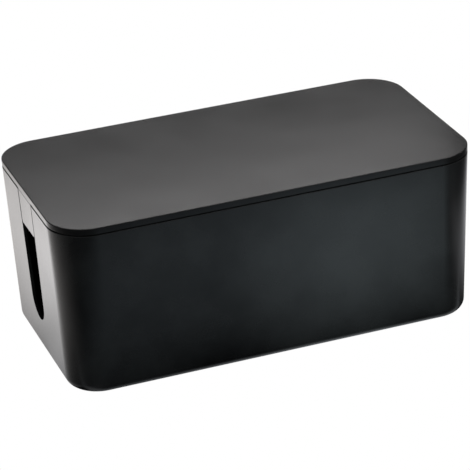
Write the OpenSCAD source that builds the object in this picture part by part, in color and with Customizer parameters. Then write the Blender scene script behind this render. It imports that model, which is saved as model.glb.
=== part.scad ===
// Cable management box: a moulded tub with a cable slot in each end, a lift-off lid whose
// tongues close the tops of the slots, and four rubber feet.
// It stands on its feet at z = 0, centred on the origin, with its length along X and its
// front towards -Y. All sizes are in millimetres.

/* [Box] */
// Outside length at the rim
box_length = 320; // [260:1:420]
// Outside width at the rim
box_width = 172; // [130:1:220]
// Height of the tub, from its underside to its rim
tub_height = 127; // [90:0.1:180]
// How far each wall leans in from the rim down to the underside
wall_lean = 4.3; // [1:0.1:7]
// Outside radius of the upright corners at the rim
corner_radius = 30; // [26:0.5:48]
// Outside radius between the walls and the underside
bottom_edge_radius = 8; // [5:0.1:12]
// Thickness of the walls
wall_thickness = 2.5; // [1.8:0.1:3.5]
// Thickness of the floor
floor_thickness = 2.8; // [2:0.1:4]
// Inside radius between the walls and the floor
inside_edge_radius = 5.5; // [2:0.1:8]

/* [Cable slots] */
// Width of the slot in each end wall, at its round foot
slot_width = 30; // [16:0.2:50]
// How much further out each side of a slot stands at the rim than at the foot
slot_draft = 2.5; // [0.5:0.1:4]
// Height of the slot's round foot above the underside
slot_sill = 28.8; // [15:0.1:45]

/* [Lid] */
// Height of the lid's upright edge
lid_edge_height = 4.4; // [3.5:0.1:9]
// Thickness of the lid's flat top
lid_thickness = 2.4; // [1.8:0.1:3.2]
// Radius along the lid's upper edge
lid_edge_radius = 0.6; // [0.3:0.1:1.5]
// How far the lid's edge stands back from the tub's rim
lid_set_back = 0; // [0:0.05:1]
// Height of the shadow gap between the rim and the lid's edge
gap_height = 1.2; // [0.6:0.1:2]
// How far the shadow gap runs in under the lid's edge
gap_depth = 1.2; // [0.5:0.1:1.4]
// How far the locating rim drops into the tub
locating_depth = 6; // [3:0.5:12]
// Thickness of the locating rim
locating_thickness = 1.8; // [1.2:0.1:2.5]
// Clearance between the locating rim and the tub's wall
locating_clearance = 0.4; // [0.3:0.05:0.8]

/* [Tongues] */
// How far each tongue hangs below the tub's rim
tongue_drop = 26; // [14:0.1:35]
// Thickness of each tongue
tongue_thickness = 3; // [2.8:0.1:4]
// Gap on each side of a tongue, between it and its slot
tongue_clearance = 1.4; // [0.3:0.1:2]
// How far a tongue's face stands back from the lid's edge
tongue_set_back = 0.05; // [0.05:0.05:0.6]
// Radius of a tongue's lower corners
tongue_corner_radius = 2; // [0.5:0.1:5]
// Depth of the groove that carries the shadow gap's line across a tongue
tongue_groove_depth = 0.2; // [0.1:0.05:0.8]

/* [Feet] */
// Diameter of each foot
foot_diameter = 12; // [8:0.5:18]
// Thickness of each foot
foot_thickness = 2.2; // [1.6:0.1:3]
// Radius of each foot's lower edge
foot_edge_radius = 0.5; // [0.2:0.1:0.8]
// Depth of the seat that each foot is stuck into
foot_seat_depth = 0.9; // [0.4:0.1:1.2]
// Gap between a foot and the side of its seat
foot_seat_clearance = 0.3; // [0.3:0.05:0.6]
// Distance from the rim's outside to a foot's centre, along X and along Y
foot_inset = 31; // [28:0.5:50]

/* [Hidden] */
$fn = 96;

// How far a cut runs past the face that it opens
overcut = 1;
// The axes that the upright corners turn about
corner_x = box_length / 2 - corner_radius;
corner_y = box_width / 2 - corner_radius;
// The walls' slope off upright
lean_angle = atan(wall_lean / tub_height);
// The tub's underside stands this high on its feet
underside = foot_thickness - foot_seat_depth;

// Heights above the tub's underside
lid_edge_low = tub_height + gap_height;
lid_top = lid_edge_low + lid_edge_height;
lid_ceiling = lid_top - lid_thickness;
locating_low = tub_height - locating_depth;
tongue_low = tub_height - tongue_drop;

// Distances in from the outside of the rim
land_inset = lid_set_back + gap_depth;
locating_inset = wall_thickness + locating_clearance;
tongue_inset = lid_set_back + tongue_set_back;

// Centre of a slot's round foot, and the slope of the slot's sides off upright
slot_centre = slot_sill + slot_width / 2;
draft_angle = atan(slot_draft / (tub_height - slot_centre));

// How far a wall has leaned in at height z above the underside
function lean_at(z) = wall_lean * (1 - z / tub_height);

// Radius of an upright corner's face, set in from the outside, at height z
function corner_at(inset, z) = corner_radius - inset - lean_at(z);

// Half the width of a slot at height z, where its sides run on from the round foot
function slot_half(z) = slot_width / 2 / cos(draft_angle) + (z - slot_centre) * tan(draft_angle);

// The right-hand point where a side with the slot's slope leaves a circle
function draft_meets(centre, radius) =
  centre + radius * [cos(draft_angle), -sin(draft_angle)];

// A shape that is the same to the left and right, from the points of its right half
module both_halves(points) {
  for (side = [0, 1]) mirror([side, 0]) polygon(points);
}

// The half of a disc that lies to the right of its centre
module right_half_disc(radius) {
  intersection() {
    circle(radius);
    translate([0, -2 * radius]) square(4 * radius);
  }
}

// Upright section of a block with leaning walls and a rounded bottom edge. It runs
// outwards along x from the corner's axis.
module block_section(inset, low, high, edge) {
  arc_x = corner_at(inset, low + edge) - edge / cos(lean_angle);
  arc_z = low + edge;
  meets_wall = [arc_x + edge * cos(lean_angle), arc_z - edge * sin(lean_angle)];
  polygon([[0, low], [arc_x, low], meets_wall, [corner_at(inset, high), high], [0, high]]);
  translate([arc_x, arc_z]) right_half_disc(edge);
}

// Carries an upright section round the box: a quarter turn at each corner, and straight
// along the ends and the sides between them
module round_the_box() {
  for (sx = [0, 1], sy = [0, 1])
    mirror([sx, 0, 0]) mirror([0, sy, 0])
      translate([corner_x, corner_y, 0]) rotate_extrude(angle = 90) children();
  for (sx = [0, 1])
    mirror([sx, 0, 0]) translate([corner_x, 0, 0])
      rotate([90, 0, 0]) linear_extrude(height = 2 * corner_y, center = true) children();
  for (sy = [0, 1])
    mirror([0, sy, 0]) translate([0, corner_y, 0])
      rotate([90, 0, 90]) linear_extrude(height = 2 * corner_x, center = true) children();
}

// The flat middle that a section's inner ends meet
module middle_plate(low, high) {
  translate([-corner_x, -corner_y, low]) cube([2 * corner_x, 2 * corner_y, high - low]);
}

module at_feet() {
  for (sx = [-1, 1], sy = [-1, 1]) foot_place(sx, sy) children();
}

module foot_place(sx, sy) {
  translate([sx * (box_length / 2 - foot_inset), sy * (box_width / 2 - foot_inset), 0])
    children();
}

// Section through the tub's wall and the floor's edge
module tub_section() {
  difference() {
    block_section(0, 0, tub_height, bottom_edge_radius);
    block_section(wall_thickness, floor_thickness, tub_height + overcut, inside_edge_radius);
  }
}

// Upright outline of a cable slot: a round foot under sides that open towards the rim
module slot_outline() {
  top = tub_height + overcut;
  side_foot = draft_meets([0, slot_centre], slot_width / 2);
  translate([0, slot_centre]) circle(d = slot_width);
  both_halves([[0, side_foot[1]], side_foot, [slot_half(top), top], [0, top]]);
}

// One moulding: floor, walls, slots and foot seats. One cut makes both slots.
module tub() {
  color("#1b1c1e") translate([0, 0, underside]) difference() {
    union() {
      round_the_box() tub_section();
      middle_plate(0, floor_thickness);
    }
    rotate([90, 0, 90])
      linear_extrude(height = box_length + 2 * overcut, center = true) slot_outline();
    at_feet() translate([0, 0, -overcut])
      cylinder(d = foot_diameter + 2 * foot_seat_clearance, h = foot_seat_depth + overcut);
  }
}

// Section through the lid's top, its edge, the land that rests on the tub's rim and the
// locating rim that drops inside the wall
module lid_section() {
  edge_x = corner_radius - lid_set_back;
  land_x = corner_radius - land_inset;
  locating_x = corner_radius - locating_inset;
  locating_low_x = corner_at(locating_inset, locating_low);
  inner_x = locating_low_x - locating_thickness;
  polygon([
    [0, lid_ceiling],
    [0, lid_top],
    [edge_x - lid_edge_radius, lid_top],
    [edge_x, lid_top - lid_edge_radius],
    [edge_x, lid_edge_low],
    [land_x, lid_edge_low],
    [land_x, tub_height],
    [locating_x, tub_height],
    [locating_low_x, locating_low],
    [inner_x, locating_low],
    [inner_x, lid_ceiling],
  ]);
  translate([edge_x - lid_edge_radius, lid_top - lid_edge_radius])
    right_half_disc(lid_edge_radius);
}

// A tongue as seen from the end: its sides follow the slot's, and its lower corners are round
module tongue_outline() {
  radius = tongue_corner_radius;
  corner_z = tongue_low + radius;
  corner_y = slot_half(corner_z) - tongue_clearance - radius / cos(draft_angle);
  for (side = [-1, 1]) translate([side * corner_y, corner_z]) circle(radius);
  both_halves([
    [0, tongue_low],
    [corner_y, tongue_low],
    draft_meets([corner_y, corner_z], radius),
    [slot_half(lid_ceiling) - tongue_clearance, lid_ceiling],
    [0, lid_ceiling],
  ]);
}

// A tongue as seen from the side: it leans with the tub's wall, and a groove level with the
// shadow gap divides it from the lid's edge
module tongue_section() {
  face_x = box_length / 2 - tongue_inset;
  low_x = face_x - lean_at(tongue_low);
  groove_x = face_x - tongue_groove_depth;
  back_x = face_x - tongue_thickness;
  polygon([
    [low_x, tongue_low],
    [face_x, tub_height],
    [groove_x, tub_height],
    [groove_x, lid_ceiling],
    [back_x, lid_ceiling],
    [back_x, tub_height],
    [low_x - tongue_thickness, tongue_low],
  ]);
}

module tongue() {
  intersection() {
    rotate([90, 0, 90]) linear_extrude(height = box_length / 2) tongue_outline();
    rotate([90, 0, 0])
      linear_extrude(height = 2 * slot_half(lid_top), center = true) tongue_section();
  }
}

// One moulding: top, edge, locating rim and a tongue at each end
module lid() {
  color("#222325") translate([0, 0, underside]) {
    round_the_box() lid_section();
    middle_plate(lid_ceiling, lid_top);
    for (sx = [0, 1]) mirror([sx, 0, 0]) tongue();
  }
}

// A stuck-on rubber disc whose lower edge is rounded
module foot(sx, sy) {
  radius = foot_diameter / 2;
  color("#101010") foot_place(sx, sy) rotate_extrude() {
    polygon([
      [0, 0],
      [radius - foot_edge_radius, 0],
      [radius, foot_edge_radius],
      [radius, foot_thickness],
      [0, foot_thickness],
    ]);
    translate([radius - foot_edge_radius, foot_edge_radius]) right_half_disc(foot_edge_radius);
  }
}

tub();
lid();
foot(-1, -1);  // foot_front_left
foot(1, -1);  // foot_front_right
foot(-1, 1);  // foot_rear_left
foot(1, 1);  // foot_rear_right
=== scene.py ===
"""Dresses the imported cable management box: the moulded tub and lid, the rubber feet, and
the studio that the box stands in.

It is laid out as an add-on, so each step is also an operator, listed in the sidebar of the
3D view. Lengths are in metres, heights are above the surface that the feet stand on, and
the front faces -Y.
"""

import math

import bmesh
import bpy
from bpy.props import FloatProperty, FloatVectorProperty, IntProperty, PointerProperty
from mathutils import Matrix, Vector


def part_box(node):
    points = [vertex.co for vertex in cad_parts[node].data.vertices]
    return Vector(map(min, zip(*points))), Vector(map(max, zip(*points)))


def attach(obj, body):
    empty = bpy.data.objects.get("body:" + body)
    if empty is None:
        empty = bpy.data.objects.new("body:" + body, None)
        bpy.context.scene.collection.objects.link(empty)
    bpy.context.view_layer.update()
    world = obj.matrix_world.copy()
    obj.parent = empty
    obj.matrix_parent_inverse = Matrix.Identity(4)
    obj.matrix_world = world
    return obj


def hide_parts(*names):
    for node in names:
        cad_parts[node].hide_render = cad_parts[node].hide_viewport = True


bl_info = {
    "name": "Cable Management Box",
    "version": (1, 0, 0),
    "blender": (4, 5, 0),
    "location": "3D View > Sidebar > Cable Box",
    "description": "Builds a moulded cable box with a lift-off lid, and its studio",
    "category": "Add Mesh",
}

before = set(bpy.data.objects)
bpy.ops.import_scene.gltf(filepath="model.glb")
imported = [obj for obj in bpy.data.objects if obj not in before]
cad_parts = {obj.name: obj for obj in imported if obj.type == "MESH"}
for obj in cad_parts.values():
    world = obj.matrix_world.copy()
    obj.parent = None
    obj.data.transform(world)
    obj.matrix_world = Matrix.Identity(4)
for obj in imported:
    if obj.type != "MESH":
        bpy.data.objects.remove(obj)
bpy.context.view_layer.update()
tub_low, tub_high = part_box("tub")
lid_low, lid_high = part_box("lid")
foot_low, foot_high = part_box("foot_rear_right")

MM = 0.001
QUARTER_TURN = math.pi / 2
FEET = ("foot_front_left", "foot_front_right", "foot_rear_left", "foot_rear_right")

# Points closer than this are joined
JOIN_WITHIN = 0.002 * MM
# Faces round a turned piece, and across a rounded edge
TURNED_STEPS = 64
ROUNDED_STEPS = 3
# Edges that turn by more than the first angle are rounded, and those that turn by more
# than the second stay sharp in the shading
ROUND_FROM = math.radians(35)
SHARP_FROM = math.radians(40)
# How far the cutter of the slots runs past the rim and the ends
OVERCUT = 5 * MM
# The dish in each foot, as shares of its radius: its flat middle, and where it ends
DISH_MIDDLE, DISH_END = 0.45, 0.75

# The part of its range that a noise seldom leaves
NOISE_LOW, NOISE_HIGH = 0.32, 0.68
# The plastic's refractive index, and the strength of the fine bumps in both materials
PLASTIC_IOR = 1.5
FINE_STRENGTH = 0.5
# Clean and dusty rubber, as shares of its colour
RUBBER_CLEAN, RUBBER_DUSTY = 0.7, 1.9

# Half the length and width of the floor, of the sheet of light that lies just over it, and
# of the openings in both under the box
FLOOR_REACH = (4, 4)
FLOOR_HOLE = (0.145, 0.071)
GLOW_REACH = (0.6, 0.8)
GLOW_HOLE = (0.154, 0.0745)
GLOW_HEIGHT = 0.5 * MM
# Distances from the middle at which the floor starts to turn paler in reflections, and is
# palest. Nearer in, the darker floor is painted shade in place of the box's shadow on it.
SHADE_NEAR, SHADE_FAR = 0.4, 0.9
# The way to the dark part of the backdrop, and the angles from it of full dark and of
# full light
DARK_TOWARDS = (0.293, 0.857, 0.426)
DARK_ANGLE, LIGHT_ANGLE = math.radians(25), math.radians(50)
# The camera's sensor in millimetres, and the nearest and farthest that it sees
SENSOR_WIDTH = 36
CLIP_NEAR, CLIP_FAR = 0.05, 50

# Softboxes: middle, the way that each one faces, width, height, strength and tint
SOFTBOXES = {
    "rear": ((0.2, 0.7, 0.55), (0, -1, 0), 0.6, 0.1, 2.94, (1.02, 1, 1)),
    "rear_low": ((0.2, 0.7, 0.15), (0, -1, 0), 0.6, 0.3, 1.8, (1, 1, 1)),
    "front_high": ((0.33, -0.45, 0.95), (-0.29, 0.45, -0.82), 0.16, 0.7, 2.0, (0.95, 1, 1.03)),
}

# Pools of soft light on the floor: middle, half sizes, turn, strength and tint
POOLS = {
    "left": ((-0.168, 0.292), (0.237, 0.525), -0.443, 1.454, (1.04, 1, 0.98)),
    "left_near": ((-0.235, 0.159), (0.062, 0.254), 0.347, 1.33, (1, 1, 1.02)),
    "left_foot": ((-0.163, -0.024), (0.02, 0.084), 0.301, 0.454, (1, 1, 1.02)),
    "front": ((0.132, -0.218), (0.123, 0.209), 0.791, 0.724, (0.86, 1, 1.05)),
    "front_wide": ((0.04, -0.278), (0.4, 0.187), -0.341, 0.376, (0.86, 1, 1.1)),
    "front_foot": ((0.05, -0.079), (0.35, 0.006), 0, 0.5, (0.95, 1, 1.05)),
    "right": ((0.29, 0.17), (0.14, 0.42), -0.1, 1.0, (1, 1, 1.05)),
    "right_near": ((0.28, -0.17), (0.07, 0.11), 0, 0.25, (1, 1, 1.02)),
    "rear": ((-0.05, 0.33), (0.3, 0.22), 0, 0.5, (1, 1, 1)),
}


# ----------------------------------------------------------------------------- settings


def length(name, description, default, **limits):
    """A length property in metres."""
    return FloatProperty(
        name=name, description=description, default=default, min=0, precision=5,
        unit="LENGTH", **limits,
    )


def angle(name, description, degrees):
    """An angle property, from its default in degrees."""
    return FloatProperty(
        name=name, description=description, default=math.radians(degrees), subtype="ANGLE"
    )


def colour(name, description, default):
    """A colour property."""
    return FloatVectorProperty(
        name=name, description=description, default=default, min=0, max=1, size=3,
        subtype="COLOR",
    )


def share(name, description, default):
    """A property from 0 to 1."""
    return FloatProperty(
        name=name, description=description, default=default, min=0, max=1,
        subtype="FACTOR",
    )


class BoxSizes(bpy.types.PropertyGroup):
    """Sizes that the tub and the lid share"""

    length: length("Length", "Outside length at the rim", tub_high.x - tub_low.x)
    width: length("Width", "Outside width at the rim", tub_high.y - tub_low.y)
    rim: length("Rim", "Height of the tub's rim", tub_high.z)
    underside: length("Underside", "Height of the tub's underside", tub_low.z)
    corner_radius: length("Corner radius", "Outside radius in plan at the rim", 30 * MM)
    lean: length("Lean", "How far each wall leans in at the underside", 4.3 * MM)
    wall: length("Wall", "Thickness of the walls", 2.5 * MM)
    slot_width: length("Slot width", "Width of each cable slot at its round foot", 30 * MM)
    slot_draft: length(
        "Slot draft", "How much further out a slot's sides stand at the rim", 2.5 * MM
    )
    slot_sill: length("Slot sill", "Height of each slot's foot above the underside", 28.8 * MM)
    corner_steps: IntProperty(
        name="Corner steps", description="Faces round each upright corner", default=32, min=4
    )


class TubSizes(bpy.types.PropertyGroup):
    """Sizes of the tub alone"""

    floor: length("Floor", "Thickness of the floor", 2.8 * MM)
    bottom_round: length("Bottom radius", "Outside radius under the walls", 8 * MM)
    inside_round: length("Inside radius", "Radius between floor and walls", 5.5 * MM)
    rim_round: length("Rim radius", "Radius along the rim's edges", 0.45 * MM)
    slot_round: length("Slot radius", "Radius along the slots' edges", 0.15 * MM)
    gate_radius: length("Gate radius", "Radius of the moulding gate's dimple", 4.5 * MM)
    gate_depth: length("Gate depth", "Depth of the moulding gate's dimple", 0.6 * MM)
    gate_pip: length("Gate pip", "Radius of the pip in the dimple, at its foot", 1.4 * MM)
    gate_pip_end: length("Gate pip end", "Radius of the pip at its end", 1 * MM)


class LidSizes(bpy.types.PropertyGroup):
    """Sizes of the lid alone"""

    top: length("Top", "Height of the lid's top", lid_high.z)
    thickness: length("Thickness", "Thickness of the flat top", 2.4 * MM)
    edge_height: length("Edge height", "Height of the upright edge", 4.4 * MM)
    edge_round: length("Edge radius", "Radius along the upper edge", 0.6 * MM)
    set_back: length(
        "Set back", "How far the edge stands back from the rim", tub_high.x - lid_high.x
    )
    gap_depth: length("Gap depth", "How far the shadow gap runs in", 1.2 * MM)
    locating_depth: length("Locating rim", "How far it drops into the tub", 6 * MM)
    locating_thickness: length("Locating wall", "Thickness of the locating rim", 1.8 * MM)
    locating_clearance: length("Clearance", "Between locating rim and wall", 0.4 * MM)
    tongue_low: length("Tongue end", "Height of the tongues' lower ends", lid_low.z)
    tongue_thickness: length("Tongue thickness", "Thickness of each tongue", 3 * MM)
    tongue_clearance: length("Tongue gap", "Gap on each side of a tongue", 1.4 * MM)
    tongue_set_back: length("Tongue step", "From the edge back to a tongue", 0.05 * MM)
    tongue_round: length("Tongue corners", "Radius of the lower corners", 2 * MM)
    groove_depth: length("Groove", "Depth of the groove across a tongue", 0.12 * MM)
    small_round: length("Small radius", "Radius along the small edges", 0.12 * MM)


class FootSizes(bpy.types.PropertyGroup):
    """Sizes of the rubber feet and their seats"""

    radius: length("Radius", "Radius of each foot", (foot_high.x - foot_low.x) / 2)
    thickness: length("Thickness", "Thickness of each foot", foot_high.z - foot_low.z)
    edge_round: length("Edge radius", "Radius along the lower edge", 0.5 * MM)
    dish: length("Dish", "How far the foot's middle is dished", 0.15 * MM)
    seat_gap: length("Seat gap", "Gap round the foot in its seat", 0.3 * MM)
    reach_x: length("Reach X", "From the middle to a foot", (foot_high.x + foot_low.x) / 2)
    reach_y: length("Reach Y", "From the middle to a foot", (foot_high.y + foot_low.y) / 2)


class Finishes(bpy.types.PropertyGroup):
    """Colours, gloss and texture of the plastic and the rubber"""

    plastic: colour("Plastic", "Colour of the moulded plastic", (0.002, 0.0022, 0.0024))
    tub_haze: colour("Tub haze", "Colour where handling hazed the tub", (0.022, 0.024, 0.0243))
    lid_haze: colour("Lid haze", "Colour where handling hazed the lid", (0.009, 0.0094, 0.01))
    tub_roughness: share("Tub roughness", "Roughness of the tub", 0.25)
    lid_roughness: share("Lid roughness", "Roughness of the lid", 0.25)
    uneven: share("Unevenness", "How far the roughness strays to each side", 0.015)
    clouds: length("Clouds", "Size of the clouds of haze", 38 * MM)
    grain: length("Grain", "Size of the mould's fine grain", 0.35 * MM)
    grain_depth: length("Grain depth", "Depth of the mould's fine grain", 0.012 * MM)
    waves: length("Waves", "Size of the slow waves in the moulding", 60 * MM)
    wave_depth: length("Wave depth", "Depth of the slow waves", 0.35 * MM)
    rubber: colour("Rubber", "Colour of the feet", (0.018, 0.018, 0.018))
    rubber_roughness: share("Rubber roughness", "Roughness of the feet", 0.75)
    skin: length("Rubber skin", "Size of the rubber's fine texture", 0.5 * MM)
    skin_depth: length("Skin depth", "Depth of the rubber's fine texture", 0.05 * MM)
    dust: length("Dust", "Size of the dusty spots on the rubber", 4 * MM)


class StudioSettings(bpy.types.PropertyGroup):
    """The camera and the lights"""

    azimuth: angle("Azimuth", "The camera's turn round the box, from the front", -18.897)
    elevation: angle("Elevation", "The camera's angle above the horizon", 25.212)
    roll: angle("Roll", "The camera's tilt", -3.261)
    distance: length("Distance", "From the aim to the camera", 1.81836)
    aim: FloatVectorProperty(
        name="Aim", description="What the camera is set up on",
        default=(0, 0, 0.0669), subtype="TRANSLATION",
    )
    slide: FloatVectorProperty(
        name="Slide", description="The camera's shift to its right and up",
        default=(-0.001982, -0.002363), size=2, subtype="TRANSLATION",
    )
    lens: FloatProperty(
        name="Lens", description=f"Focal length in millimetres on a {SENSOR_WIDTH} mm sensor",
        default=186.645,
    )
    # The near shade is painted shade round the box, seen only in reflections
    near_painted_shade: share("Near shade", "How pale the floor is in reflections, near", 0.1)
    far_shade: share("Far shade", "How pale the floor is in reflections, far off", 0.6)
    fill: FloatProperty(
        name="Fill", description="Strength of the light from all round", default=0.25, min=0
    )


# --------------------------------------------------------------------------- node trees


def put(socket, value):
    """Links an output to a socket, or sets the socket to a plain value."""
    if isinstance(value, bpy.types.NodeSocket):
        socket.id_data.links.new(value, socket)
    else:
        socket.default_value = value


def node(tree, kind, values=None, **settings):
    """Adds a node, with its settings and its inputs."""
    made = tree.nodes.new(kind)
    for key, value in settings.items():
        setattr(made, key, value)
    for key, value in (values or {}).items():
        put(made.inputs[key], value)
    return made


def calc(tree, operation, *values):
    """The output of one sum on sockets or numbers."""
    made = node(tree, "ShaderNodeMath", operation=operation)
    for socket, value in zip(made.inputs, values):
        put(socket, value)
    return made.outputs[0]


def new_tree(name, **sockets):
    """A geometry node tree with named inputs, and its group input node's outputs."""
    tree = bpy.data.node_groups.new(name, "GeometryNodeTree")
    tree.interface.new_socket("Geometry", in_out="OUTPUT", socket_type="NodeSocketGeometry")
    for label, kind in sockets.items():
        tree.interface.new_socket(
            label.replace("_", " "), in_out="INPUT", socket_type="NodeSocket" + kind
        )
    return tree, tree.nodes.new("NodeGroupInput").outputs


def end_tree(tree, geometry, material):
    """Ends a tree in Realize Instances and Set Material."""
    real = node(tree, "GeometryNodeRealizeInstances", {"Geometry": geometry})
    dressed = node(
        tree, "GeometryNodeSetMaterial", {"Geometry": real.outputs[0], "Material": material}
    )
    node(tree, "NodeGroupOutput", {"Geometry": dressed.outputs[0]})


def run_tree(thing, tree, **values):
    """Adds a tree to an object as a modifier and sets its inputs by their identifiers."""
    modifier = thing.modifiers.new(tree.name, "NODES")
    modifier.node_group = tree
    for item in tree.interface.items_tree:
        key = item.name.replace(" ", "_")
        if item.in_out == "INPUT" and key in values:
            modifier[item.identifier] = values[key]


def corner_plate(tree, given):
    """A level plate round the origin, whose corners lie at a tree's reach along X and Y."""
    return node(
        tree, "GeometryNodeMeshGrid",
        {
            "Size X": calc(tree, "MULTIPLY", given["Reach X"], 2),
            "Size Y": calc(tree, "MULTIPLY", given["Reach Y"], 2),
            "Vertices X": 2,
            "Vertices Y": 2,
        },
    ).outputs["Mesh"]


# ------------------------------------------------------------------- objects and meshes


def new_object(name, data):
    """An object for a mesh, a light or a camera, linked to the scene."""
    thing = bpy.data.objects.new(name, data)
    bpy.context.scene.collection.objects.link(thing)
    return thing


def mesh_from(name, points, edges=(), faces=()):
    """An object for a mesh of points, edges and faces."""
    mesh = bpy.data.meshes.new(name)
    mesh.from_pydata([Vector(point) for point in points], list(edges), list(faces))
    return new_object(name, mesh)


def open_sheet(name, reach, opening, height):
    """A level sheet with an opening in its middle, from half the length and width of both."""
    corners = [
        (side_x * x, side_y * y, height)
        for x, y in (reach, opening)
        for side_x, side_y in ((-1, -1), (1, -1), (1, 1), (-1, 1))
    ]
    faces = [(i, (i + 1) % 4, 4 + (i + 1) % 4, 4 + i) for i in range(4)]
    return mesh_from(name, corners, faces=faces)


def arc(centre, radius, start, end, steps):
    """Points on an arc between two angles in degrees."""
    turns = [math.radians(start + (end - start) * i / steps) for i in range(steps + 1)]
    return [
        (centre[0] + radius * math.cos(a), centre[1] + radius * math.sin(a)) for a in turns
    ]


def lathe(name, profile):
    """A closed turned solid about Z from (radius, height) points. They run from the axis
    out along the bottom, up, and back to the axis along the top."""
    count = TURNED_STEPS
    turns = [2 * math.pi * i / count for i in range(count)]
    rings = profile[1:-1]
    points = [
        (radius * math.cos(turn), radius * math.sin(turn), height)
        for radius, height in rings
        for turn in turns
    ]
    bottom, top = len(points), len(points) + 1
    points += [(0, 0, profile[0][1]), (0, 0, profile[-1][1])]
    upper = count * (len(rings) - 1)
    faces = []
    for i in range(count):
        j = (i + 1) % count
        faces.append((bottom, j, i))
        faces += [
            (low + i, low + j, low + count + j, low + count + i)
            for low in range(0, upper, count)
        ]
        faces.append((top, upper + i, upper + j))
    return mesh_from(name, points, faces=faces)


def point_outwards(thing):
    """Turns a closed mesh's faces outwards."""
    work = bmesh.new()
    work.from_mesh(thing.data)
    bmesh.ops.recalc_face_normals(work, faces=work.faces)
    work.to_mesh(thing.data)
    work.free()


def soften(thing, radius):
    """Rounds the sharp edges of an object."""
    bevel = thing.modifiers.new("small_edges", "BEVEL")
    bevel.width = radius
    bevel.segments = ROUNDED_STEPS
    bevel.limit_method = "ANGLE"
    bevel.angle_limit = ROUND_FROM
    bevel.use_clamp_overlap = False
    bevel.miter_outer = "MITER_ARC"


def combine(thing, other, operation):
    """Cuts another object out of this one, or joins it on."""
    step = thing.modifiers.new(other.name, "BOOLEAN")
    step.operation = operation
    step.solver = "EXACT"
    step.object = other


def evaluated_mesh(thing):
    """A plain mesh of what an object's modifiers make."""
    graph = bpy.context.evaluated_depsgraph_get()
    return bpy.data.meshes.new_from_object(thing.evaluated_get(graph))


def clean(mesh):
    """Joins doubled points and takes out faces without area."""
    work = bmesh.new()
    work.from_mesh(mesh)
    bmesh.ops.remove_doubles(work, verts=work.verts, dist=JOIN_WITHIN)
    bmesh.ops.dissolve_degenerate(work, edges=work.edges, dist=JOIN_WITHIN)
    work.to_mesh(mesh)
    work.free()


def finish_piece(thing, material, body, nodes):
    """Turns an object into a plain smooth-shaded mesh that rides on a body and stands for
    CAD nodes."""
    mesh = evaluated_mesh(thing)
    thing.modifiers.clear()
    thing.data = mesh
    mesh.materials.clear()
    mesh.materials.append(material)
    mesh.polygons.foreach_set("material_index", [0] * len(mesh.polygons))
    clean(mesh)
    mesh.shade_smooth()
    mesh.set_sharp_from_angle(angle=SHARP_FROM)
    weighted = thing.modifiers.new("even_normals", "WEIGHTED_NORMAL")
    weighted.keep_sharp = True
    weighted.weight = 100
    thing.data = evaluated_mesh(thing)
    thing.modifiers.clear()
    thing.data.name = thing.name
    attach(thing, body)
    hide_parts(*nodes)


def discard(*things):
    """Removes objects that have done their work."""
    for thing in things:
        bpy.data.objects.remove(thing)


# ------------------------------------------------------------------ walls round the box


def lean_at(box, height):
    """How far a wall has leaned in at a height."""
    return box.lean * (box.rim - height) / (box.rim - box.underside)


def face_at(box, inset, height):
    """Distance from a corner's axis out to a leaning face that is set in from the rim."""
    return box.corner_radius - inset - lean_at(box, height)


def slot_shape(box):
    """The slots' slope off upright, the height of their round foot's centre, and a function
    that gives half a slot's width at a height."""
    centre = box.underside + box.slot_sill + box.slot_width / 2
    slope = math.atan2(box.slot_draft, box.rim - centre)

    def half(height):
        return box.slot_width / 2 / math.cos(slope) + (height - centre) * math.tan(slope)

    return slope, centre, half


def block_profile(box, inset, low, edge):
    """Half the outline of a leaning-walled block: from the axis along its bottom, round
    the edge and up to the rim."""
    lean = math.atan2(box.lean, box.rim - box.underside)
    centre = (face_at(box, inset, low + edge) - edge / math.cos(lean), low + edge)
    foot = arc(centre, edge, -90, -math.degrees(lean), steps=14)
    return [(0, low), *foot, (face_at(box, inset, box.rim), box.rim)]


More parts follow.
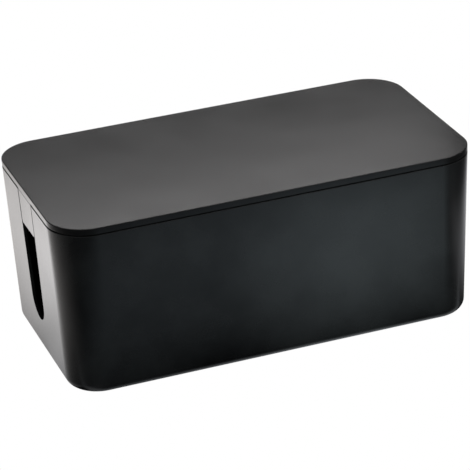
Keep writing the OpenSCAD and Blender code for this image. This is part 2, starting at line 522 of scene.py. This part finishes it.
def wall_round_tree():
    """Carries an upright section round the box. The section's points hold their distance
    out from a corner's axis in X and their height in Z. Its ends lie on the axis, where two
    flat plates close the shell."""
    tree, given = new_tree(
        "wall_round_box", Geometry="Geometry", Reach_X="Float", Reach_Y="Float",
        Corner_Steps="Int", Material="Material",
    )

    def times(number, parts):
        """How many whole times a whole number holds another. The half keeps it clear of
        rounding."""
        return calc(tree, "FLOOR", calc(tree, "DIVIDE", calc(tree, "ADD", number, 0.5), parts))

    def section_point(at):
        """Position of the section's point with this index."""
        sampled = node(
            tree, "GeometryNodeSampleIndex",
            {
                "Geometry": given["Geometry"],
                "Value": node(tree, "GeometryNodeInputPosition").outputs[0],
                "Index": at,
            },
            data_type="FLOAT_VECTOR",
        )
        return node(tree, "ShaderNodeSeparateXYZ", {"Vector": sampled.outputs[0]}).outputs

    # A sheet with one column for each place where the section stands. The last column
    # stands on the first.
    section = node(
        tree, "GeometryNodeAttributeDomainSize", {"Geometry": given["Geometry"]},
        component="MESH",
    )
    rows = section.outputs["Point Count"]
    corner_columns = calc(tree, "ADD", given["Corner Steps"], 1)
    columns = calc(tree, "MULTIPLY_ADD", corner_columns, 4, 1)
    sheet = node(tree, "GeometryNodeMeshGrid", {"Vertices X": columns, "Vertices Y": rows})

    # The corner that a point belongs to, the way it faces, and the way to the corner's axis
    index = node(tree, "GeometryNodeInputIndex").outputs[0]
    column = times(index, rows)
    corner = times(column, corner_columns)
    step = calc(tree, "SUBTRACT", column, calc(tree, "MULTIPLY", corner, corner_columns))
    turned = calc(tree, "ADD", corner, calc(tree, "DIVIDE", step, given["Corner Steps"]))
    outwards = calc(tree, "MULTIPLY", turned, QUARTER_TURN)
    towards = calc(tree, "MULTIPLY_ADD", corner, QUARTER_TURN, QUARTER_TURN / 2)
    point = section_point(calc(tree, "MODULO", index, rows))

    def across(wave, reach):
        """One horizontal coordinate: the corner's axis, and outwards from it."""
        axis = calc(
            tree, "MULTIPLY", calc(tree, wave, towards), calc(tree, "MULTIPLY", reach, 2**0.5)
        )
        return calc(tree, "MULTIPLY_ADD", calc(tree, wave, outwards), point["X"], axis)

    place = node(
        tree, "ShaderNodeCombineXYZ",
        {
            "X": across("COSINE", given["Reach X"]),
            "Y": across("SINE", given["Reach Y"]),
            "Z": point["Z"],
        },
    )
    wall = node(
        tree, "GeometryNodeSetPosition",
        {"Geometry": sheet.outputs["Mesh"], "Position": place.outputs[0]},
    )
    joined = node(tree, "GeometryNodeJoinGeometry")
    tree.links.new(wall.outputs[0], joined.inputs[0])
    last = calc(tree, "SUBTRACT", rows, 1)
    for at, faces_down in ((0, True), (last, False)):
        plate = corner_plate(tree, given)
        if faces_down:
            plate = node(tree, "GeometryNodeFlipFaces", {"Mesh": plate}).outputs[0]
        level = node(tree, "ShaderNodeCombineXYZ", {"Z": section_point(at)["Z"]})
        moved = node(
            tree, "GeometryNodeTransform",
            {"Geometry": plate, "Translation": level.outputs[0]},
        )
        tree.links.new(moved.outputs[0], joined.inputs[0])
    closed = node(
        tree, "GeometryNodeMergeByDistance",
        {"Geometry": joined.outputs[0], "Distance": JOIN_WITHIN},
    )
    end_tree(tree, closed.outputs[0], given["Material"])
    return tree


def wall_round(name, section, box, material):
    """An object whose modifier carries a section of (out, height) points round the box."""
    thing = mesh_from(
        name,
        [(out, 0, height) for out, height in section],
        [(i, i + 1) for i in range(len(section) - 1)],
    )
    tree = bpy.data.node_groups.get("wall_round_box") or wall_round_tree()
    run_tree(
        thing, tree,
        Reach_X=box.length / 2 - box.corner_radius,
        Reach_Y=box.width / 2 - box.corner_radius,
        Corner_Steps=box.corner_steps,
        Material=material,
    )
    return thing


# ----------------------------------------------------------------- where the feet stand


def set_out_tree():
    """Repeats a piece at the four corners of a rectangle."""
    tree, given = new_tree(
        "set_out_in_fours", Geometry="Geometry", Reach_X="Float", Reach_Y="Float",
        Material="Material",
    )
    copies = node(
        tree, "GeometryNodeInstanceOnPoints",
        {"Points": corner_plate(tree, given), "Instance": given["Geometry"]},
    )
    end_tree(tree, copies.outputs[0], given["Material"])
    return tree


def set_out(thing, foot, material):
    """Repeats an object where the feet are."""
    tree = bpy.data.node_groups.get("set_out_in_fours") or set_out_tree()
    run_tree(
        thing, tree, Reach_X=foot.reach_x, Reach_Y=foot.reach_y, Material=material
    )


# ---------------------------------------------------------------------------- materials


def new_material(name):
    """A material, its node tree and its shader."""
    material = bpy.data.materials.new(name)
    material.use_nodes = True
    return material, material.node_tree, material.node_tree.nodes["Principled BSDF"]


def noise(tree, size, detail, shift=(0, 0, 0)):
    """Noise on the object's own coordinates whose largest spots are this size."""
    place = node(tree, "ShaderNodeTexCoord").outputs["Object"]
    shifted = node(tree, "ShaderNodeMapping", {"Vector": place, "Location": shift})
    return node(
        tree, "ShaderNodeTexNoise",
        {"Vector": shifted.outputs[0], "Scale": 1 / size, "Detail": detail},
    ).outputs[0]


def spread(tree, value, low, high):
    """Stretches the part of a noise that it seldom leaves over another range."""
    return node(
        tree, "ShaderNodeMapRange",
        {
            "Value": value, "From Min": NOISE_LOW, "From Max": NOISE_HIGH,
            "To Min": low, "To Max": high,
        },
    ).outputs[0]


def two_tone(tree, factor, first, second):
    """A colour that goes from one to another with a factor."""
    values = {"Fac": factor, "Color1": (*first, 1), "Color2": (*second, 1)}
    return node(tree, "ShaderNodeMixRGB", values).outputs[0]


def bump(tree, height, depth, strength, **under):
    """A normal that a height tilts by its slopes, on top of another one if that is given
    as Normal."""
    values = {"Height": height, "Distance": depth, "Strength": strength, **under}
    return node(tree, "ShaderNodeBump", values).outputs[0]


def plastic_material(name, finishes, haze, roughness, seed):
    """Moulded plastic: a fine mould grain and slow waves in the surface, a hazy film that
    handling has left in clouds, and a finish that is a little uneven with it."""
    material, tree, shader = new_material(name)

    def layer(size, detail, shift):
        """Noise that is unlike that of the other layers and of the other moulding."""
        return noise(tree, size, detail, (seed + shift, seed * 0.7, shift * 0.3))

    clouds = layer(finishes.clouds, detail=4, shift=0.1)
    fine = layer(finishes.grain, detail=2, shift=0.2)
    waves = layer(finishes.waves, detail=1, shift=0.3)
    film = two_tone(tree, spread(tree, clouds, 0, 1), finishes.plastic, haze)
    gloss = spread(tree, clouds, roughness - finishes.uneven, roughness + finishes.uneven)
    wavy = bump(tree, waves, finishes.wave_depth, 1)
    grained = bump(tree, fine, finishes.grain_depth, FINE_STRENGTH, Normal=wavy)
    put(shader.inputs["Base Color"], film)
    put(shader.inputs["Roughness"], gloss)
    put(shader.inputs["IOR"], PLASTIC_IOR)
    put(shader.inputs["Normal"], grained)
    return material


def rubber_material(name, finishes):
    """Dull rubber with a fine skin and a little dust."""
    material, tree, shader = new_material(name)
    skin = noise(tree, finishes.skin, detail=4)
    dust = noise(tree, finishes.dust, detail=6)
    bare = [RUBBER_CLEAN * channel for channel in finishes.rubber]
    dusty = [RUBBER_DUSTY * channel for channel in finishes.rubber]
    put(shader.inputs["Base Color"], two_tone(tree, dust, bare, dusty))
    put(shader.inputs["Roughness"], finishes.rubber_roughness)
    put(shader.inputs["Normal"], bump(tree, skin, finishes.skin_depth, FINE_STRENGTH))
    return material


# ---------------------------------------------------------------------------- operators


class CABLEBOX_OT_tub(bpy.types.Operator):
    """Builds the tub: floor, leaning walls, cable slots and seats for the feet"""

    bl_idname = "cablebox.tub"
    bl_label = "Tub"

    def section(self, box, tub):
        """Through the floor and up a wall, over the rim and down inside."""
        outside = block_profile(box, 0, box.underside, tub.bottom_round)
        inside = block_profile(
            box, box.wall, box.underside + tub.floor, tub.inside_round
        )
        edge = tub.rim_round
        outer = arc((outside[-1][0] - edge, box.rim - edge), edge, 0, 90, steps=4)
        inner = arc((inside[-1][0] + edge, box.rim - edge), edge, 90, 180, steps=4)
        return outside[:-1] + outer + inner + inside[-2::-1]

    def slot_cutter(self, box):
        """A bar with the outline of the slots, through both ends."""
        slope, centre, half = slot_shape(box)
        turn = math.degrees(slope)
        top = box.rim + OVERCUT
        end = box.length / 2 + OVERCUT
        outline = arc((0, centre), box.slot_width / 2, 180 + turn, 360 - turn, steps=40)
        outline += [(half(top), top), (-half(top), top)]
        count = len(outline)
        points = [(side * end, y, z) for side in (-1, 1) for y, z in outline]
        around = [
            (i, (i + 1) % count, count + (i + 1) % count, count + i) for i in range(count)
        ]
        caps = [tuple(reversed(range(count))), tuple(range(count, 2 * count))]
        return mesh_from("slot_cutter", points, faces=around + caps)

    def seat_cutter(self, foot, material):
        """Four discs, each a little wider than a foot."""
        radius = foot.radius + foot.seat_gap
        low, high = -foot.thickness, foot.thickness
        cutter = lathe("seat_cutter", [(0, low), (radius, low), (radius, high), (0, high)])
        set_out(cutter, foot, material)
        return cutter

    def gate_cutter(self, box, tub):
        """A disc for the gate's dimple, hollowed for the pip that the gate leaves."""
        low = box.underside - tub.gate_depth
        high = box.underside + tub.gate_depth
        pip = box.underside + tub.gate_depth / 2
        return lathe(
            "gate_cutter",
            [
                (0, low),
                (tub.gate_radius, low),
                (tub.gate_radius, high),
                (tub.gate_pip, high),
                (tub.gate_pip_end, pip),
                (0, pip),
            ],
        )

    def execute(self, context):
        scene = context.scene
        box, tub, foot = scene.box_sizes, scene.tub_sizes, scene.foot_sizes
        finishes = scene.finishes
        material = plastic_material(
            "satin_black_abs", finishes, finishes.tub_haze, finishes.tub_roughness, seed=1
        )
        shell = wall_round("tub_shell", self.section(box, tub), box, material)
        cutters = [
            self.slot_cutter(box),
            self.seat_cutter(foot, material),
            self.gate_cutter(box, tub),
        ]
        for cutter in cutters:
            combine(shell, cutter, "DIFFERENCE")
        soften(shell, tub.slot_round)
        finish_piece(shell, material, "root", ["tub"])
        discard(*cutters)
        return {"FINISHED"}


class CABLEBOX_OT_lid(bpy.types.Operator):
    """Builds the lid: flat top, upright edge, locating rim and tongues"""

    bl_idname = "cablebox.lid"
    bl_label = "Lid"

    def section(self, box, lid):
        """Out under the flat top, down and round the locating rim, in the shadow gap, up
        the edge and back over the top."""
        ceiling = lid.top - lid.thickness
        edge_low = lid.top - lid.edge_height
        locating_low = box.rim - lid.locating_depth
        edge = box.corner_radius - lid.set_back
        land = edge - lid.gap_depth
        locating_inset = box.wall + lid.locating_clearance
        locating_foot = face_at(box, locating_inset, locating_low)
        inner = locating_foot - lid.locating_thickness
        curve = lid.edge_round
        return [
            (0, ceiling),
            (inner, ceiling),
            (inner, locating_low),
            (locating_foot, locating_low),
            (face_at(box, locating_inset, box.rim), box.rim),
            (land, box.rim),
            (land, edge_low),
            (edge, edge_low),
            *arc((edge - curve, lid.top - curve), curve, 0, 90, steps=6),
            (0, lid.top),
        ]

    def tongue(self, box, lid, end):
        """One tongue: its sides follow the slot's, its lower corners are round, it leans
        with the wall, and a groove level with the shadow gap crosses it."""
        slope, _, slot_half = slot_shape(box)
        turn = math.degrees(slope)
        curve = lid.tongue_round
        low = lid.tongue_low + curve
        ceiling = lid.top - lid.thickness
        corner = slot_half(low) - lid.tongue_clearance - curve / math.cos(slope)
        top = slot_half(ceiling) - lid.tongue_clearance
        rim = slot_half(box.rim) - lid.tongue_clearance
        outline = [(-top, ceiling), (-rim, box.rim)]
        outline += arc((-corner, low), curve, 180 + turn, 270, steps=8)
        outline += arc((corner, low), curve, 270, 360 - turn, steps=8)
        outline += [(rim, box.rim), (top, ceiling)]
        count = len(outline)
        last = count - 1

        # The front leans with the wall up to the rim. Above it lies the groove, whose
        # ledge has two points of its own. The back stands upright above the rim.
        face = box.length / 2 - lid.set_back - lid.tongue_set_back
        groove = face - lid.groove_depth
        front = [(face - lean_at(box, z), y, z) for y, z in outline]
        front[0] = (groove, -top, ceiling)
        front[last] = (groove, top, ceiling)
        back = [
            (face - lid.tongue_thickness - lean_at(box, min(z, box.rim)), y, z)
            for y, z in outline
        ]
        ledge = [(groove, -rim, box.rim), (groove, rim, box.rim)]
        points = [(end * x, y, z) for x, y, z in front + back + ledge]
        left, right = 2 * count, 2 * count + 1
        faces = [
            (0, left, right, last),
            (left, 1, last - 1, right),
            range(1, last),
            (count, count + 1, count + last - 1, count + last),
            range(count + 1, count + last),
            (0, last, count + last, count),
            (0, count, count + 1, 1, left),
            (last, right, last - 1, count + last - 1, count + last),
        ]
        faces += [(i, i + 1, count + i + 1, count + i) for i in range(1, last - 1)]
        thing = mesh_from("tongue", points, faces=[tuple(face) for face in faces])
        point_outwards(thing)
        soften(thing, lid.small_round / 2)
        return thing

    def execute(self, context):
        scene = context.scene
        box, lid, finishes = scene.box_sizes, scene.lid_sizes, scene.finishes
        material = plastic_material(
            "fine_matt_black_abs", finishes, finishes.lid_haze, finishes.lid_roughness, seed=2
        )
        shell = wall_round("lid_shell", self.section(box, lid), box, material)
        soften(shell, lid.small_round)
        tongues = [self.tongue(box, lid, end) for end in (-1, 1)]
        for tongue in tongues:
            combine(shell, tongue, "UNION")
        finish_piece(shell, material, "lid", ["lid"])
        discard(*tongues)
        return {"FINISHED"}


class CABLEBOX_OT_feet(bpy.types.Operator):
    """Builds the four rubber feet"""

    bl_idname = "cablebox.feet"
    bl_label = "Feet"

    def execute(self, context):
        foot = context.scene.foot_sizes
        material = rubber_material("black_rubber", context.scene.finishes)
        curve = foot.edge_round
        profile = [
            (0, foot.dish),
            (foot.radius * DISH_MIDDLE, foot.dish),
            (foot.radius * DISH_END, 0),
            *arc((foot.radius - curve, curve), curve, -90, 0, steps=5),
            (foot.radius, foot.thickness),
            (0, foot.thickness),
        ]
        feet = lathe("feet", profile)
        set_out(feet, foot, material)
        finish_piece(feet, material, "root", FEET)
        return {"FINISHED"}


class CABLEBOX_OT_stage(bpy.types.Operator):
    """Sets up the floor, the lights and the camera"""

    bl_idname = "cablebox.stage"
    bl_label = "Stage"

    def camera(self, scene, studio):
        """The camera looks at the box's left and front from above, tilted a little."""
        turn, rise, tilt = studio.azimuth, studio.elevation, studio.roll
        back = Vector(
            (
                math.sin(turn) * math.cos(rise),
                -math.cos(turn) * math.cos(rise),
                math.sin(rise),
            )
        )
        right = Vector((math.cos(turn), math.sin(turn), 0))
        up = back.cross(right)
        across = math.cos(tilt) * right + math.sin(tilt) * up
        upright = math.cos(tilt) * up - math.sin(tilt) * right
        place = Vector(studio.aim) + back * studio.distance
        place += across * studio.slide[0] + upright * studio.slide[1]
        data = bpy.data.cameras.new("camera")
        data.sensor_width = SENSOR_WIDTH
        data.lens = studio.lens
        data.clip_start = CLIP_NEAR
        data.clip_end = CLIP_FAR
        camera = new_object("camera", data)
        axes = Matrix((across, upright, back)).transposed()
        camera.matrix_world = Matrix.Translation(place) @ axes.to_4x4()
        scene.camera = camera

    def empty_tree(self, owner):
        """The emptied node tree of a material or a world."""
        owner.use_nodes = True
        owner.node_tree.nodes.clear()
        return owner.node_tree

    def mixed(self, tree, factor, first, second):
        """A shader that goes from one to another with a factor."""
        values = {"Fac": factor, 1: first.outputs[0], 2: second.outputs[0]}
        return node(tree, "ShaderNodeMixShader", values)

    def white_in_view(self, tree, shader):
        """A shader that the camera sees as plain white, while it lights and shows in
        reflections as it is."""
        white = node(tree, "ShaderNodeEmission", {"Color": (1, 1, 1, 1), "Strength": 1})
        seen = node(tree, "ShaderNodeLightPath").outputs["Is Camera Ray"]
        return self.mixed(tree, seen, shader, white)

    def floor(self, studio):
        """A plain pale floor, solid from above and clear from below. It is open under the box,
        so that light reaches the underside. In reflections it is darker near the box: painted
        shade in place of the box's shadow on the floor."""
        material = bpy.data.materials.new("floor_paper")
        tree = self.empty_tree(material)
        place = node(tree, "ShaderNodeTexCoord").outputs["Object"]
        away = node(
            tree, "ShaderNodeVectorMath", {0: place}, operation="LENGTH"
        ).outputs["Value"]
        # Painted shade: the floor turns darker towards the box, seen only in reflections
        shade = node(
            tree, "ShaderNodeMapRange",
            {
                "Value": away, "From Min": SHADE_NEAR, "From Max": SHADE_FAR,
                "To Min": studio.near_painted_shade, "To Max": studio.far_shade,
            },
            interpolation_type="SMOOTHSTEP",
        )
        paper = node(tree, "ShaderNodeBsdfDiffuse", {"Color": shade.outputs[0]})
        clear = node(tree, "ShaderNodeBsdfTransparent")
        below = node(tree, "ShaderNodeNewGeometry").outputs["Backfacing"]
        surface = self.mixed(tree, below, self.white_in_view(tree, paper), clear)
        node(tree, "ShaderNodeOutputMaterial", {"Surface": surface.outputs[0]})
        floor = open_sheet("floor", FLOOR_REACH, FLOOR_HOLE, 0)
        floor.data.materials.append(material)

    def backdrop(self, scene, studio):
        """A white backdrop that fills in light from all round, and is black where the
        softboxes stand behind the box."""
        world = bpy.data.worlds.new("backdrop")
        tree = self.empty_tree(world)
        towards = node(tree, "ShaderNodeTexCoord").outputs["Generated"]
        beside = node(
            tree, "ShaderNodeVectorMath", {0: towards, 1: DARK_TOWARDS},
            operation="DOT_PRODUCT",
        ).outputs["Value"]
        strength = node(
            tree, "ShaderNodeMapRange",
            {
                "Value": beside, "From Min": math.cos(LIGHT_ANGLE),
                "From Max": math.cos(DARK_ANGLE), "To Min": studio.fill, "To Max": 0,
            },
            interpolation_type="SMOOTHSTEP",
        ).outputs[0]
        fill = node(
            tree, "ShaderNodeBackground", {"Color": (1, 1, 1, 1), "Strength": strength}
        )
        surface = self.white_in_view(tree, fill)
        node(tree, "ShaderNodeOutputWorld", {"Surface": surface.outputs[0]})
        scene.world = world

    def softbox(self, name, place, facing, width, height, strength, tint):
        """A rectangle of soft light that the camera doesn't see."""
        data = bpy.data.lights.new(name, "AREA")
        data.shape = "RECTANGLE"
        data.size = width
        data.size_y = height
        data.color = tint
        # The watts that make a face of this size glow at this strength
        data.energy = strength * math.pi * width * height
        light = new_object(name, data)
        light.location = place
        light.rotation_euler = Vector(facing).to_track_quat("-Z", "Y").to_euler()
        light.visible_camera = False

    def floor_glow(self, pools):
        """A sheet on the floor, open under the box, that glows upwards in soft pools and is
        clear elsewhere."""
        material = bpy.data.materials.new("floor_glow")
        tree = self.empty_tree(material)
        place = node(tree, "ShaderNodeTexCoord").outputs["Object"]
        colour = (0, 0, 0)
        for (x, y), (half_x, half_y), turn, strength, tint in pools:
            across = node(
                tree, "ShaderNodeMapping",
                {
                    "Vector": place, "Location": (x, y, 0), "Rotation": (0, 0, turn),
                    "Scale": (half_x, half_y, 1),
                },
                vector_type="TEXTURE",
            ).outputs[0]
            squared = node(
                tree, "ShaderNodeVectorMath", {0: across, 1: across}, operation="DOT_PRODUCT"
            ).outputs["Value"]
            inside = calc(tree, "MAXIMUM", calc(tree, "SUBTRACT", 1, squared), 0)
            falloff = calc(tree, "POWER", inside, 2)
            colour = node(
                tree, "ShaderNodeVectorMath",
                {0: falloff, 1: [strength * channel for channel in tint], 2: colour},
                operation="MULTIPLY_ADD",
            ).outputs["Vector"]
        below = node(tree, "ShaderNodeNewGeometry").outputs["Backfacing"]
        glow = node(
            tree, "ShaderNodeEmission",
            {"Color": colour, "Strength": calc(tree, "SUBTRACT", 1, below)},
        )
        clear = node(tree, "ShaderNodeBsdfTransparent")
        both = node(tree, "ShaderNodeAddShader", {0: clear.outputs[0], 1: glow.outputs[0]})
        node(tree, "ShaderNodeOutputMaterial", {"Surface": both.outputs[0]})
        sheet = open_sheet("floor_glow", GLOW_REACH, GLOW_HOLE, GLOW_HEIGHT)
        sheet.data.materials.append(material)
        sheet.visible_camera = False

    def execute(self, context):
        scene = context.scene
        scene.view_settings.view_transform = "Standard"
        self.camera(scene, scene.studio)
        self.floor(scene.studio)
        self.backdrop(scene, scene.studio)
        for name, softbox in SOFTBOXES.items():
            self.softbox(name, *softbox)
        self.floor_glow(POOLS.values())
        return {"FINISHED"}


class CABLEBOX_PT_panel(bpy.types.Panel):
    """Lists the sizes and the steps"""

    bl_idname = "CABLEBOX_PT_panel"
    bl_label = "Cable Management Box"
    bl_space_type = "VIEW_3D"
    bl_region_type = "UI"
    bl_category = "Cable Box"

    def draw(self, context):
        for group in SETTINGS:
            block = self.layout.box()
            block.label(text=group.replace("_", " ").capitalize())
            settings = getattr(context.scene, group)
            for name in settings.__annotations__:
                block.prop(settings, name)
        for step in STEPS:
            self.layout.operator(step.bl_idname)


SETTINGS = {
    "box_sizes": BoxSizes,
    "tub_sizes": TubSizes,
    "lid_sizes": LidSizes,
    "foot_sizes": FootSizes,
    "finishes": Finishes,
    "studio": StudioSettings,
}
STEPS = (CABLEBOX_OT_stage, CABLEBOX_OT_tub, CABLEBOX_OT_lid, CABLEBOX_OT_feet)
CLASSES = (*SETTINGS.values(), *STEPS, CABLEBOX_PT_panel)


def register():
    """Registers the classes and hangs the settings on the scene."""
    for cls in CLASSES:
        bpy.utils.register_class(cls)
    for name, group in SETTINGS.items():
        setattr(bpy.types.Scene, name, PointerProperty(type=group))


def unregister():
    """Takes the settings and the classes away again."""
    for name in SETTINGS:
        delattr(bpy.types.Scene, name)
    for cls in reversed(CLASSES):
        bpy.utils.unregister_class(cls)


def main():
    """Builds the scene."""
    register()
    bpy.ops.cablebox.stage()
    bpy.ops.cablebox.tub()
    bpy.ops.cablebox.lid()
    bpy.ops.cablebox.feet()


if __name__ == "__main__":
    main()
